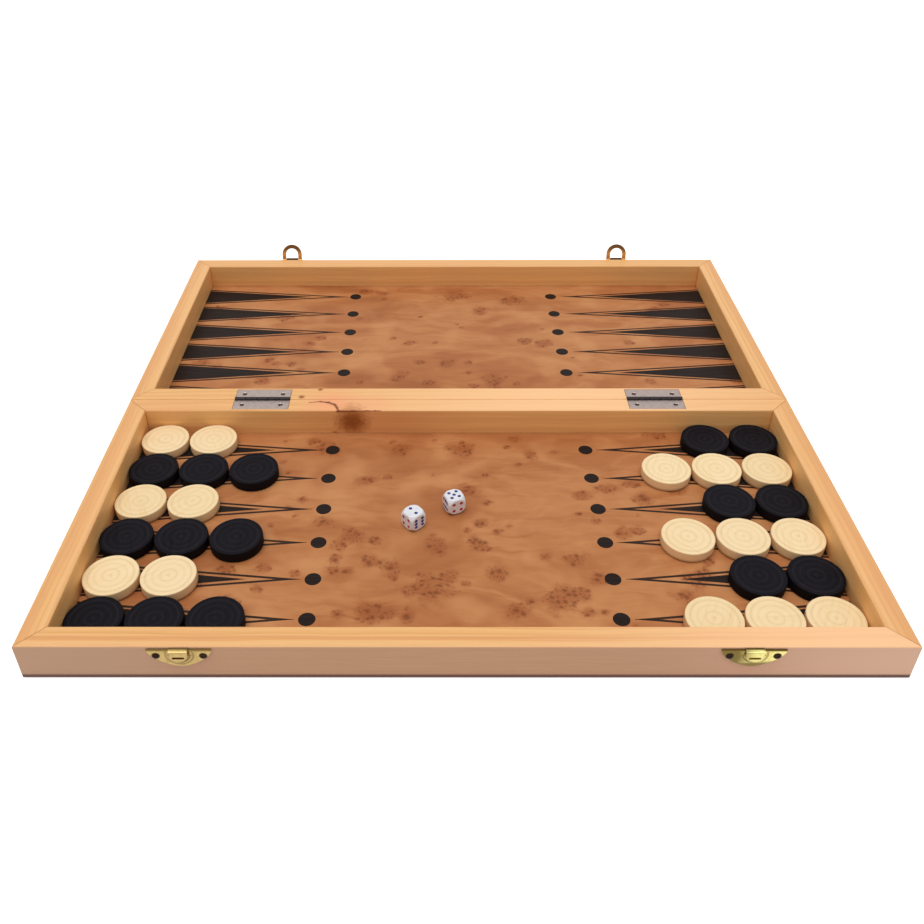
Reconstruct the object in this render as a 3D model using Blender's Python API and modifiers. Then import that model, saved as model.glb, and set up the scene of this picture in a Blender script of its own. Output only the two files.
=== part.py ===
"""Folding backgammon case, opened flat: two mitred trays on a pair of butt hinges.

Two drop-loop clasps stand on the far tray's outer rail and catch a pressed nose on the near
tray's outer rail. Thirty turned checkers and two dice lie in the near tray.
X runs along the fold, +Y points to the far tray, +Z is up. The origin lies on the table under
the middle of the fold. All lengths are in metres.
"""

import math

import bmesh
import bpy
from mathutils import Matrix, Vector

# Fits and cuts
SEAM = 0.0003  # clearance between two pieces that touch in the real board
OVERRUN = 0.003  # how far a cut runs past the piece it cuts
FLAT = math.radians(0.1)  # faces within this angle of each other count as one flat face

# Trays
CASE_WIDTH = 0.480
TRAY_DEPTH = 0.229
TRAY_HEIGHT = 0.025
RAIL_WIDTH = 0.0143
RAIL_EDGE_ROUND = 0.0009
ROUND_STEPS = 3
PANEL_THICKNESS = 0.0044
REBATE_LAP = 0.006  # how far the floor panel runs in under the rails
VENEER_THICKNESS = 0.0006
RAIL_FOOT_CHAMFER = 0.0006

# Butt hinges
HINGE_INSET = 0.0967  # end of the case to the middle of a hinge
HINGE_LENGTH = 0.040
LEAF_REACH = 0.0123  # pin axis to the leaf's inner edge
LEAF_THICKNESS = 0.0012
BARREL_RADIUS = 0.0016
HINGE_PIN_RADIUS = 0.0008
KNUCKLE_COUNT = 5
KNUCKLE_SIDES = 12
HINGE_SCREW_INSET = 0.006  # leaf end to the screw
HINGE_SCREW_RADIUS = 0.0018
HINGE_SCREW_SINK = 0.00025
HINGE_SLOT_DEPTH = 0.0003
SLOT_LENGTH_SHARE = 1.3  # cross slot's length, in screw head radii
SLOT_WIDTH_SHARE = 0.26

# Clasps
CLASP_INSET = 0.0883  # end of the case to the middle of a clasp
PLATE_WIDTH = 0.0346
PLATE_DROP = 0.0124  # crescent's depth below its straight edge
PLATE_TOP_INSET = 0.0011  # rim down to the plate's straight edge
PLATE_THICKNESS = 0.0010
PLATE_STEPS = 20
PLATE_SCREW_OFFSET = 0.0126
PLATE_SCREW_DROP = 0.0043
PLATE_SCREW_RADIUS = 0.0020
PLATE_SCREW_HEIGHT = 0.0008
PLATE_SCREW_CROWN = 0.0013  # radius of the head's flat crown
PLATE_SLOT_DEPTH = 0.0004
SCREW_SIDES = 12
NOSE_WIDTH = 0.0102
NOSE_DROP = 0.0076
NOSE_STRAIGHT = 0.0030  # straight sides above the nose's rounded end
NOSE_HEIGHT = 0.0026  # how far the nose stands out of its plate
NOSE_ROUND = 0.0013
NOSE_STEPS = 8
NOSE_SLOT_WIDTH = 0.0066
NOSE_SLOT_HEIGHT = 0.0011
NOSE_SLOT_DROP = 0.0040
NOSE_WALL = 0.0004  # metal left behind the slot
LOOP_WIDTH = 0.0180
LOOP_STRIP = 0.0034
LOOP_THICKNESS = 0.0012
LOOP_REACH = 0.0145  # pin axis to the top of the arch
LOOP_RUN = 0.0004  # clearance between the latched loop and the plate behind it
LOOP_LEAN = math.radians(15)  # how far the open loop leans away from the rail
LOOP_STEPS = 10
CLASP_AXIS_DROP = 0.0015  # rim down to the clasp's pin
CLASP_BARREL_RADIUS = 0.0014
CLASP_PIN_RADIUS = 0.0006
CLASP_BORE_RADIUS = 0.0009
LOOP_FOOT_LAP = 0.00015  # how far a loop's knuckle stands past its leg at each side

# Checkers
ROW_COUNT = 6  # rows that fill the depth of a tray
ROW_SLACK = 0.0003  # room left over between the last row and the front rail
CHECKER_THICKNESS = 0.0071
CHECKER_CHAMFER = 0.0005
CHECKER_RIM = 0.0026  # raised ring round the dished face
CHECKER_DISH = 0.0003
CHECKER_DISH_SLOPE = 0.0008
CHECKER_SIDES = 22
CHECKER_SIDE_GAP = 0.0012
LEFT_LIGHT_COUNT = 2
LEFT_DARK_COUNT = 3
RIGHT_DARK_COUNT = 2
RIGHT_LIGHT_COUNT = 3

# Dice
DIE_SIZE = 0.0120
DIE_ROUND = 0.0024
DIE_ROUND_STEPS = 2
PIP_RADIUS = 0.00105
PIP_DEPTH = 0.0004
PIP_SPREAD = 0.0025
PIP_SIDES = 8
LEFT_DIE_X = -0.0306
LEFT_DIE_DISTANCE = 0.1135  # fold to the middle of the left die
LEFT_DIE_TURN = math.radians(40)
RIGHT_DIE_X = -0.0045
RIGHT_DIE_DISTANCE = 0.0980
RIGHT_DIE_TURN = math.radians(23)

# Places that follow from the sizes above
FACE = SEAM / 2  # fold plane to either tray's hinge face
OUTER = FACE + TRAY_DEPTH  # fold plane to either tray's outer face
RIM_AXIS = TRAY_HEIGHT + FACE  # height of the fold's pins, so the rims close face to face
WELL_WIDTH = CASE_WIDTH - 2 * RAIL_WIDTH
WELL_DEPTH = TRAY_DEPTH - 2 * RAIL_WIDTH
HINGE_OFFSET = CASE_WIDTH / 2 - HINGE_INSET
CLASP_OFFSET = CASE_WIDTH / 2 - CLASP_INSET
LOOP_INNER = LOOP_WIDTH - 2 * LOOP_STRIP
CLASP_AXIS_OUT = SEAM + PLATE_THICKNESS + LOOP_RUN + LOOP_THICKNESS / 2
CLASP_AXIS_HEIGHT = TRAY_HEIGHT - CLASP_AXIS_DROP
PLATE_HEIGHT = TRAY_HEIGHT - PLATE_TOP_INSET
LOOP_KNUCKLE_START = LOOP_INNER / 2 - LOOP_FOOT_LAP
LOOP_KNUCKLE_END = LOOP_WIDTH / 2 + LOOP_FOOT_LAP
PLATE_KNUCKLE_HALF = LOOP_KNUCKLE_START - SEAM
CHECKER_DIAMETER = (WELL_DEPTH - ROW_SLACK - SEAM) / ROW_COUNT - SEAM
CHECKER_RADIUS = CHECKER_DIAMETER / 2
VENEER_SEAT = PANEL_THICKNESS + SEAM  # height of the veneer's back and of the rails' lips
PLAY_FLOOR = VENEER_SEAT + VENEER_THICKNESS + SEAM  # height at which the loose pieces stand


def collection(name):
    found = bpy.data.collections.new(name)
    bpy.context.scene.collection.children.link(found)
    return found


def material(name, colour, roughness, metallic):
    made = bpy.data.materials.new(name)
    made.use_nodes = True
    shader = made.node_tree.nodes["Principled BSDF"]
    shader.inputs["Base Color"].default_value = (*colour, 1)
    shader.inputs["Roughness"].default_value = roughness
    shader.inputs["Metallic"].default_value = metallic
    made.diffuse_color = (*colour, 1)
    return made


def mesh_from(bm, name):
    mesh = bpy.data.meshes.new(name)
    bm.to_mesh(mesh)
    bm.free()
    return mesh


def evaluated(obj):
    """A plain mesh of what the object's modifiers or curve make, in the object's own space."""
    graph = bpy.context.evaluated_depsgraph_get()
    graph.update()
    return bpy.data.meshes.new_from_object(obj.evaluated_get(graph))


def box(low, high):
    low = Vector(low)
    high = Vector(high)
    place = Matrix.Translation((low + high) / 2) @ Matrix.Diagonal((*(high - low), 1))
    bm = bmesh.new()
    bmesh.ops.create_cube(bm, size=1, matrix=place)
    return mesh_from(bm, "box")


def rod(start, end, start_radius, end_radius, sides):
    start = Vector(start)
    end = Vector(end)
    turn = Vector((0, 0, 1)).rotation_difference(end - start).to_matrix().to_4x4()
    place = Matrix.Translation((start + end) / 2) @ turn
    bm = bmesh.new()
    bmesh.ops.create_cone(
        bm,
        cap_ends=True,
        segments=sides,
        radius1=start_radius,
        radius2=end_radius,
        depth=(end - start).length,
        matrix=place,
    )
    return mesh_from(bm, "rod")


def rod_along_x(start, end, y, z, radius, sides):
    return rod((start, y, z), (end, y, z), radius, radius, sides)


def slab(outline, low, high):
    """A flat outline in X and Y, made solid between two heights."""
    curve = bpy.data.curves.new("outline", "CURVE")
    curve.dimensions = "2D"
    curve.fill_mode = "BOTH"
    curve.extrude = (high - low) / 2
    spline = curve.splines.new("POLY")
    spline.points.add(len(outline) - 1)
    for point, (x, y) in zip(spline.points, outline):
        point.co = (x, y, 0, 1)
    spline.use_cyclic_u = True
    guide = bpy.data.objects.new("outline", curve)
    bpy.context.scene.collection.objects.link(guide)
    mesh = evaluated(guide)
    bpy.data.objects.remove(guide)
    bm = bmesh.new()
    bm.from_mesh(mesh)
    bmesh.ops.remove_doubles(bm, verts=bm.verts, dist=SEAM / 100)
    bmesh.ops.dissolve_limit(bm, angle_limit=FLAT, verts=bm.verts, edges=bm.edges)
    bmesh.ops.recalc_face_normals(bm, faces=bm.faces)
    bmesh.ops.translate(bm, verts=bm.verts, vec=(0, 0, (low + high) / 2))
    return mesh_from(bm, "slab")


def combined(base, steps):
    """The base mesh after each tool mesh has been joined to it or cut from it, in turn."""
    guide = bpy.data.objects.new("base", base)
    bpy.context.scene.collection.objects.link(guide)
    tools = []
    for tool, operation in steps:
        cutter = bpy.data.objects.new("tool", tool)
        bpy.context.scene.collection.objects.link(cutter)
        step = guide.modifiers.new("step", "BOOLEAN")
        step.operation = operation
        step.object = cutter
        tools.append(cutter)
    mesh = evaluated(guide)
    for used in (guide, *tools):
        bpy.data.objects.remove(used)
    return mesh


def arc(centre, radius, start, end, steps):
    """Points along an arc in degrees, both ends included."""
    points = []
    for i in range(steps + 1):
        angle = math.radians(start + (end - start) * i / steps)
        points.append((centre[0] + radius * math.cos(angle), centre[1] + radius * math.sin(angle)))
    return points


def smooth(mesh):
    mesh.shade_smooth()
    mesh.set_sharp_from_angle(angle=math.radians(30))
    return mesh


def place(name, mesh, finish, home, at=(0, 0, 0), turn=(0, 0, 0)):
    """Adds one named piece. The mesh is shared by its copies, the material belongs to the piece."""
    if not mesh.materials:
        mesh.materials.append(None)
    piece = bpy.data.objects.new(name, mesh)
    home.objects.link(piece)
    piece.material_slots[0].link = "OBJECT"
    piece.material_slots[0].material = finish
    piece.location = at
    piece.rotation_euler = turn
    return piece


def rail(length):
    """One rail along X, outer face at Y 0, with a rebate for the floor and both ends mitred."""
    top = TRAY_HEIGHT - RAIL_EDGE_ROUND
    inner = RAIL_WIDTH - RAIL_EDGE_ROUND
    section = [(RAIL_FOOT_CHAMFER, 0), (0, RAIL_FOOT_CHAMFER)]
    section += arc((RAIL_EDGE_ROUND, top), RAIL_EDGE_ROUND, 180, 90, ROUND_STEPS)
    section += arc((inner, top), RAIL_EDGE_ROUND, 90, 0, ROUND_STEPS)
    section += [
        (RAIL_WIDTH, VENEER_SEAT),
        (RAIL_WIDTH - REBATE_LAP, VENEER_SEAT),
        (RAIL_WIDTH - REBATE_LAP, 0),
    ]
    mesh = slab(section, -length / 2, length / 2)
    # The section's across, up and length directions become Y, Z and X.
    mesh.transform(Matrix(((0, 0, 1, 0), (1, 0, 0, 0), (0, 1, 0, 0), (0, 0, 0, 1))))
    bm = bmesh.new()
    bm.from_mesh(mesh)
    for side in (-1, 1):
        normal = Vector((side, 1, 0)).normalized()
        corner = Vector((side * length / 2, 0, 0)) - normal * FACE
        bmesh.ops.bisect_plane(
            bm,
            geom=bm.verts[:] + bm.edges[:] + bm.faces[:],
            plane_co=corner,
            plane_no=normal,
            clear_outer=True,
        )
        open_edges = [edge for edge in bm.edges if edge.is_boundary]
        bmesh.ops.holes_fill(bm, edges=open_edges, sides=0)
    bmesh.ops.recalc_face_normals(bm, faces=bm.faces)
    return mesh_from(bm, "rail")


def hinge_rail():
    """A long rail with a pocket and a barrel groove for each hinge in its rim."""
    half = HINGE_LENGTH / 2 + SEAM
    cuts = []
    for side in (-1, 1):
        start = side * HINGE_OFFSET - half
        end = side * HINGE_OFFSET + half
        pocket = box(
            (start, -OVERRUN, TRAY_HEIGHT - LEAF_THICKNESS - SEAM),
            (end, LEAF_REACH + SEAM - FACE, TRAY_HEIGHT + OVERRUN),
        )
        groove = rod_along_x(start, end, -FACE, RIM_AXIS, BARREL_RADIUS + SEAM, 2 * KNUCKLE_SIDES)
        cuts += [(pocket, "DIFFERENCE"), (groove, "DIFFERENCE")]
    return combined(rail(CASE_WIDTH), cuts)


def cross_slot(x, y, top, depth, radius):
    """Two crossing cuts for a screwdriver, around a vertical screw."""
    length = radius * SLOT_LENGTH_SHARE / 2
    width = radius * SLOT_WIDTH_SHARE / 2
    cuts = []
    for a, b in ((length, width), (width, length)):
        cutter = box((x - a, y - b, top - depth), (x + a, y + b, top + OVERRUN))
        cuts.append((cutter, "DIFFERENCE"))
    return cuts


def hinge_leaf(own):
    """A leaf on the +Y side of its pin, with the knuckles whose numbers are given."""
    half = HINGE_LENGTH / 2
    pitch = (HINGE_LENGTH + SEAM) / KNUCKLE_COUNT
    top = -FACE
    near = BARREL_RADIUS + SEAM
    bottom = top - LEAF_THICKNESS
    leaf = box((-half, BARREL_RADIUS / 2, bottom), (half, LEAF_REACH, top))
    relief_start = -half - OVERRUN
    reliefs = []
    knuckles = []
    for number in own:
        start = number * pitch - half
        end = start + pitch - SEAM
        reliefs.append((relief_start, start + SEAM))
        relief_start = end - SEAM
        knuckles.append((rod_along_x(start, end, 0, 0, BARREL_RADIUS, KNUCKLE_SIDES), "UNION"))
    reliefs.append((relief_start, half + OVERRUN))
    steps = []
    for start, end in reliefs:
        relief = box((start, -OVERRUN, bottom - OVERRUN), (end, near, top + OVERRUN))
        steps.append((relief, "DIFFERENCE"))
    reach = half + OVERRUN
    bore = rod_along_x(-reach, reach, 0, 0, HINGE_PIN_RADIUS + SEAM, KNUCKLE_SIDES)
    steps += knuckles + [(bore, "DIFFERENCE")]
    screw_y = (near + LEAF_REACH) / 2
    for side in (-1, 1):
        x = side * (half - HINGE_SCREW_INSET)
        sunk = top - HINGE_SCREW_SINK
        hole = rod(
            (x, screw_y, sunk),
            (x, screw_y, top + OVERRUN),
            HINGE_SCREW_RADIUS,
            HINGE_SCREW_RADIUS,
            SCREW_SIDES,
        )
        steps.append((hole, "DIFFERENCE"))
        steps += cross_slot(x, screw_y, sunk, HINGE_SLOT_DEPTH, HINGE_SCREW_RADIUS)
    return smooth(combined(leaf, steps))


def crescent():
    """Half an ellipse under a straight edge, from one end of the edge to the other."""
    points = []
    for i in range(PLATE_STEPS + 1):
        angle = math.pi * i / PLATE_STEPS
        points.append((-PLATE_WIDTH / 2 * math.cos(angle), -PLATE_DROP * math.sin(angle)))
    return points


def plate_screws():
    steps = []
    top = PLATE_THICKNESS + PLATE_SCREW_HEIGHT
    for side in (-1, 1):
        x = side * PLATE_SCREW_OFFSET
        head = rod(
            (x, -PLATE_SCREW_DROP, PLATE_THICKNESS / 2),
            (x, -PLATE_SCREW_DROP, top),
            PLATE_SCREW_RADIUS,
            PLATE_SCREW_CROWN,
            SCREW_SIDES,
        )
        steps.append((head, "UNION"))
        steps += cross_slot(x, -PLATE_SCREW_DROP, top, PLATE_SLOT_DEPTH, PLATE_SCREW_RADIUS)
    return steps


def nose():
    """The pressed nose: straight sides, a round lower end, and its front edge rounded over."""
    half = NOSE_WIDTH / 2
    outline = [(half, -SEAM), (-half, -SEAM)]
    for i in range(NOSE_STEPS + 1):
        angle = math.pi * i / NOSE_STEPS
        down = (NOSE_DROP - NOSE_STRAIGHT) * math.sin(angle)
        outline.append((-half * math.cos(angle), -NOSE_STRAIGHT - down))
    front = PLATE_THICKNESS + NOSE_HEIGHT
    bm = bmesh.new()
    bm.from_mesh(slab(outline, PLATE_THICKNESS / 2, front))
    rim = [edge for edge in bm.edges if min(v.co.z for v in edge.verts) > front - SEAM]
    bmesh.ops.bevel(bm, geom=rim, offset=NOSE_ROUND, segments=2, profile=0.5, affect="EDGES")
    return mesh_from(bm, "nose")


def catch_plate():
    """Near half of a clasp, in X and Y, standing out along Z from its back."""
    slot = box(
        (-NOSE_SLOT_WIDTH / 2, -NOSE_SLOT_DROP - NOSE_SLOT_HEIGHT, PLATE_THICKNESS + NOSE_WALL),
        (NOSE_SLOT_WIDTH / 2, -NOSE_SLOT_DROP, PLATE_THICKNESS + NOSE_HEIGHT + OVERRUN),
    )
    steps = [(nose(), "UNION"), (slot, "DIFFERENCE")] + plate_screws()
    return smooth(combined(slab(crescent(), 0, PLATE_THICKNESS), steps))


def loop_plate():
    """Far half of a clasp: a plain crescent whose middle is curled round the loop's pin."""
    axis_y = PLATE_TOP_INSET - CLASP_AXIS_DROP
    axis_z = CLASP_AXIS_OUT - SEAM
    steps = []
    for side in (-1, 1):
        inner = side * (PLATE_KNUCKLE_HALF - SEAM)
        outer = side * (LOOP_KNUCKLE_END + SEAM)
        notch = box(
            (min(inner, outer), axis_y - CLASP_BARREL_RADIUS - SEAM, -OVERRUN),
            (max(inner, outer), OVERRUN, PLATE_THICKNESS + OVERRUN),
        )
        steps.append((notch, "DIFFERENCE"))
    half = PLATE_KNUCKLE_HALF
    curl = rod_along_x(-half, half, axis_y, axis_z, CLASP_BARREL_RADIUS, KNUCKLE_SIDES)
    reach = half + OVERRUN
    bore = rod_along_x(-reach, reach, axis_y, axis_z, CLASP_BORE_RADIUS, KNUCKLE_SIDES)
    steps += [(curl, "UNION"), (bore, "DIFFERENCE")] + plate_screws()
    return smooth(combined(slab(crescent(), 0, PLATE_THICKNESS), steps))


def loop():
    """The swinging arch: X along its pin, Y from the pin to the top of the arch."""
    foot = (CLASP_BORE_RADIUS + CLASP_BARREL_RADIUS) / 2
    spring = LOOP_REACH - LOOP_WIDTH / 2
    outline = [(LOOP_WIDTH / 2, foot)]
    outline += arc((0, spring), LOOP_WIDTH / 2, 0, 180, LOOP_STEPS)
    outline += [(-LOOP_WIDTH / 2, foot), (-LOOP_INNER / 2, foot)]
    outline += arc((0, spring), LOOP_INNER / 2, 180, 0, LOOP_STEPS)
    outline.append((LOOP_INNER / 2, foot))
    strip = slab(outline, -LOOP_THICKNESS / 2, LOOP_THICKNESS / 2)
    steps = []
    for side in (-1, 1):
        start = side * LOOP_KNUCKLE_START
        end = side * LOOP_KNUCKLE_END
        knuckle = rod_along_x(start, end, 0, 0, CLASP_BARREL_RADIUS, KNUCKLE_SIDES)
        steps.append((knuckle, "UNION"))
    reach = LOOP_KNUCKLE_END + OVERRUN
    bore = rod_along_x(-reach, reach, 0, 0, CLASP_BORE_RADIUS, KNUCKLE_SIDES)
    steps.append((bore, "DIFFERENCE"))
    return smooth(combined(strip, steps))


def checker():
    """A turned disc with a dished upper face, standing on Z 0."""
    dish = CHECKER_RADIUS - CHECKER_RIM
    top = CHECKER_THICKNESS
    profile = [
        (0, top - CHECKER_DISH),
        (dish - CHECKER_DISH_SLOPE, top - CHECKER_DISH),
        (dish, top),
        (CHECKER_RADIUS - CHECKER_CHAMFER, top),
        (CHECKER_RADIUS, top - CHECKER_CHAMFER),
        (CHECKER_RADIUS, CHECKER_CHAMFER),
        (CHECKER_RADIUS - CHECKER_CHAMFER, 0),
        (0, 0),
    ]
    bm = bmesh.new()
    verts = [bm.verts.new((radius, 0, height)) for radius, height in profile]
    for a, b in zip(verts, verts[1:]):
        bm.edges.new((a, b))
    guide = bpy.data.objects.new("profile", mesh_from(bm, "profile"))
    bpy.context.scene.collection.objects.link(guide)
    turned = guide.modifiers.new("turned", "SCREW")
    turned.axis = "Z"
    turned.steps = CHECKER_SIDES
    turned.render_steps = CHECKER_SIDES
    turned.use_merge_vertices = True
    turned.merge_threshold = SEAM / 100
    mesh = evaluated(guide)
    bpy.data.objects.remove(guide)
    return smooth(mesh)


def pip_spots(value):
    """Middles of the pips of one face, in pip spreads."""
    if value == 2:
        return [(0, -1), (0, 1)]
    spots = {(0, 0)} if value % 2 else set()
    if value > 1:
        spots |= {(-1, 1), (1, -1)}
    if value > 3:
        spots |= {(1, 1), (-1, -1)}
    if value == 6:
        spots |= {(-1, 0), (1, 0)}
    return sorted(spots)


def die(values):
    """A rounded cube on Z 0, with a drilled dot for each pip. The key of a value is its face."""
    half = DIE_SIZE / 2
    bm = bmesh.new()
    bmesh.ops.create_cube(bm, size=DIE_SIZE)
    bmesh.ops.bevel(
        bm,
        geom=bm.edges[:],
        offset=DIE_ROUND,
        segments=DIE_ROUND_STEPS,
        profile=0.5,
        affect="EDGES",
    )
    drills = bmesh.new()
    for normal, value in values.items():
        face = Vector((0, 0, 1)).rotation_difference(Vector(normal)).to_matrix().to_4x4()
        for a, b in pip_spots(value):
            middle = (PIP_DEPTH + OVERRUN) / 2 - PIP_DEPTH
            spot = Matrix.Translation((a * PIP_SPREAD, b * PIP_SPREAD, half + middle))
            bmesh.ops.create_cone(
                drills,
                cap_ends=True,
                segments=PIP_SIDES,
                radius1=PIP_RADIUS,
                radius2=PIP_RADIUS,
                depth=PIP_DEPTH + OVERRUN,
                matrix=face @ spot,
            )
    mesh = combined(mesh_from(bm, "cube"), [(mesh_from(drills, "drills"), "DIFFERENCE")])
    mesh.transform(Matrix.Translation((0, 0, half)))
    return smooth(mesh)


def trays(home, finishes):
    long_rail = rail(CASE_WIDTH)
    side_rail = rail(TRAY_DEPTH)
    hinged = hinge_rail()
    half_turn = (0, 0, math.pi)
    to_right = (0, 0, -math.pi / 2)
    to_left = (0, 0, math.pi / 2)
    near_middle = -(FACE + OUTER) / 2
    wood = finishes["rail"]
    place("near_front_rail", long_rail, wood, home, (0, -OUTER, 0))
    place("near_hinge_rail", hinged, wood, home, (0, -FACE, 0), half_turn)
    place("near_left_rail", side_rail, wood, home, (-CASE_WIDTH / 2, near_middle, 0), to_right)
    place("near_right_rail", side_rail, wood, home, (CASE_WIDTH / 2, near_middle, 0), to_left)
    place("far_back_rail", long_rail, wood, home, (0, OUTER, 0), half_turn)
    place("far_hinge_rail", hinged, wood, home, (0, FACE, 0))
    place("far_left_rail", side_rail, wood, home, (-CASE_WIDTH / 2, -near_middle, 0), to_right)
    place("far_right_rail", side_rail, wood, home, (CASE_WIDTH / 2, -near_middle, 0), to_left)
    inset = RAIL_WIDTH - REBATE_LAP + SEAM
    half_x = CASE_WIDTH / 2 - inset
    half_y = TRAY_DEPTH / 2 - inset
    panel = box((-half_x, -half_y, 0), (half_x, half_y, PANEL_THICKNESS))
    place("near_floor_panel", panel, finishes["panel"], home, (0, near_middle, 0))
    place("far_floor_panel", panel, finishes["panel"], home, (0, -near_middle, 0))
    half_x = WELL_WIDTH / 2 - SEAM
    half_y = WELL_DEPTH / 2 - SEAM
    sheet = box((-half_x, -half_y, 0), (half_x, half_y, VENEER_THICKNESS))
    place("near_playing_veneer", sheet, finishes["veneer"], home, (0, near_middle, VENEER_SEAT))
    place("far_playing_veneer", sheet, finishes["veneer"], home, (0, -near_middle, VENEER_SEAT))


def hinges(home, finishes):
    even = hinge_leaf(range(0, KNUCKLE_COUNT, 2))
    odd = hinge_leaf(range(1, KNUCKLE_COUNT, 2))
    half = HINGE_LENGTH / 2
    pin = smooth(rod_along_x(-half, half, 0, 0, HINGE_PIN_RADIUS, KNUCKLE_SIDES))
    for side, word in ((-1, "left"), (1, "right")):
        at = (side * HINGE_OFFSET, 0, RIM_AXIS)
        steel = finishes["steel"]
        place(f"near_hinge_leaf_{word}", even, steel, home, at, (0, 0, math.pi))
        place(f"far_hinge_leaf_{word}", odd, steel, home, at)
        place(f"hinge_pin_{word}", pin, finishes["pin"], home, at)


def clasps(home, finishes):
    catch = catch_plate()
    base = loop_plate()
    arch = loop()
    half = LOOP_KNUCKLE_END
    pin = smooth(rod_along_x(-half, half, 0, 0, CLASP_PIN_RADIUS, KNUCKLE_SIDES))
    upright = math.pi / 2
    brass = finishes["brass"]
    for side, word in ((-1, "left"), (1, "right")):
        x = side * CLASP_OFFSET
        at = (x, OUTER + CLASP_AXIS_OUT, CLASP_AXIS_HEIGHT)
        behind = (upright, 0, math.pi)
        place(f"catch_plate_{word}", catch, brass, home, (x, -OUTER - SEAM, PLATE_HEIGHT), (upright, 0, 0))
        place(f"loop_plate_{word}", base, brass, home, (x, OUTER + SEAM, PLATE_HEIGHT), behind)
        place(f"clasp_pin_{word}", pin, brass, home, at)
        place(f"clasp_loop_{word}", arch, brass, home, at, (upright - LOOP_LEAN, 0, 0))


def checkers(home, finishes):
    disc = checker()
    counts = {"light": 0, "dark": 0}
    runs = {
        -1: (("light", LEFT_LIGHT_COUNT), ("dark", LEFT_DARK_COUNT)),
        1: (("dark", RIGHT_DARK_COUNT), ("light", RIGHT_LIGHT_COUNT)),
    }
    first_x = WELL_WIDTH / 2 - SEAM - CHECKER_RADIUS
    first_y = FACE + RAIL_WIDTH + SEAM + CHECKER_RADIUS
    for row in range(ROW_COUNT):
        for side, colours in runs.items():
            colour, count = colours[row % 2]
            for step in range(count):
                counts[colour] += 1
                x = side * (first_x - step * (CHECKER_DIAMETER + CHECKER_SIDE_GAP))
                y = -first_y - row * (CHECKER_DIAMETER + SEAM)
                name = f"{colour}_checker_{counts[colour]:02d}"
                place(name, disc, finishes[colour], home, (x, y, PLAY_FLOOR))


def dice(home, finishes):
    left = {
        (0, 0, 1): 2,
        (0, 0, -1): 5,
        (-1, 0, 0): 4,
        (1, 0, 0): 3,
        (0, -1, 0): 6,
        (0, 1, 0): 1,
    }
    right = {
        (0, 0, 1): 5,
        (0, 0, -1): 2,
        (-1, 0, 0): 6,
        (1, 0, 0): 1,
        (0, -1, 0): 4,
        (0, 1, 0): 3,
    }
    left_at = (LEFT_DIE_X, -LEFT_DIE_DISTANCE, PLAY_FLOOR)
    right_at = (RIGHT_DIE_X, -RIGHT_DIE_DISTANCE, PLAY_FLOOR)
    place("die_left", die(left), finishes["die"], home, left_at, (0, 0, LEFT_DIE_TURN))
    place("die_right", die(right), finishes["die"], home, right_at, (0, 0, RIGHT_DIE_TURN))


def build():
    for found in list(bpy.data.objects):
        bpy.data.objects.remove(found)
    home = collection("backgammon_board")
    finishes = {
        "rail": material("honey_pine", (0.80, 0.50, 0.24), 0.35, 0),
        "panel": material("panel_plywood", (0.56, 0.34, 0.17), 0.5, 0),
        "veneer": material("burl_veneer", (0.50, 0.24, 0.11), 0.3, 0),
        "steel": material("plated_steel", (0.48, 0.45, 0.44), 0.35, 1),
        "pin": material("dark_steel", (0.20, 0.18, 0.17), 0.45, 1),
        "brass": material("brass", (0.72, 0.55, 0.24), 0.28, 1),
        "light": material("pale_maple", (0.86, 0.69, 0.44), 0.45, 0),
        "dark": material("black_stained_maple", (0.018, 0.018, 0.024), 0.5, 0),
        "die": material("white_dice_plastic", (0.86, 0.86, 0.86), 0.25, 0),
    }
    trays(home, finishes)
    hinges(home, finishes)
    clasps(home, finishes)
    checkers(home, finishes)
    dice(home, finishes)


build()
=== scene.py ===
"""Looks of the folding backgammon case: woods, inlaid points, turned checkers, dice and brass.

Meshes are made in millimetres, in the frame of the CAD, and scaled to metres as they are placed.
"""

import math
import random

import bmesh
import bpy
from mathutils import Matrix, Vector, noise

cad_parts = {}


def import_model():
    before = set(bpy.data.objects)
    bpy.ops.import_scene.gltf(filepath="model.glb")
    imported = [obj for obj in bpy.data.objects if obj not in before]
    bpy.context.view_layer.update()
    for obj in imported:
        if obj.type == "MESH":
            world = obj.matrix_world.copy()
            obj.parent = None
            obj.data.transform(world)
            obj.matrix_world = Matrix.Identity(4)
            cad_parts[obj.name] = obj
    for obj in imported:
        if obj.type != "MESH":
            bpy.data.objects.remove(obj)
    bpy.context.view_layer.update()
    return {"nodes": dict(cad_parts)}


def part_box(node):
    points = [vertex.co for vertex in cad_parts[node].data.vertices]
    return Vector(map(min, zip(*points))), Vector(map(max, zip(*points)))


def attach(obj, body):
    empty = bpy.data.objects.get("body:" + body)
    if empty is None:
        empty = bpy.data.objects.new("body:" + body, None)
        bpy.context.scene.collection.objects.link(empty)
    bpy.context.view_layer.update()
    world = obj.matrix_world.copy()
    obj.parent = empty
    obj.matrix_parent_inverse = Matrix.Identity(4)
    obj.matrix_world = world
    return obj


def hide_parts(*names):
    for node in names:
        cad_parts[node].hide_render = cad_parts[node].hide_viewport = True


MM = 0.001
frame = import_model()
nodes = frame["nodes"]

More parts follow.
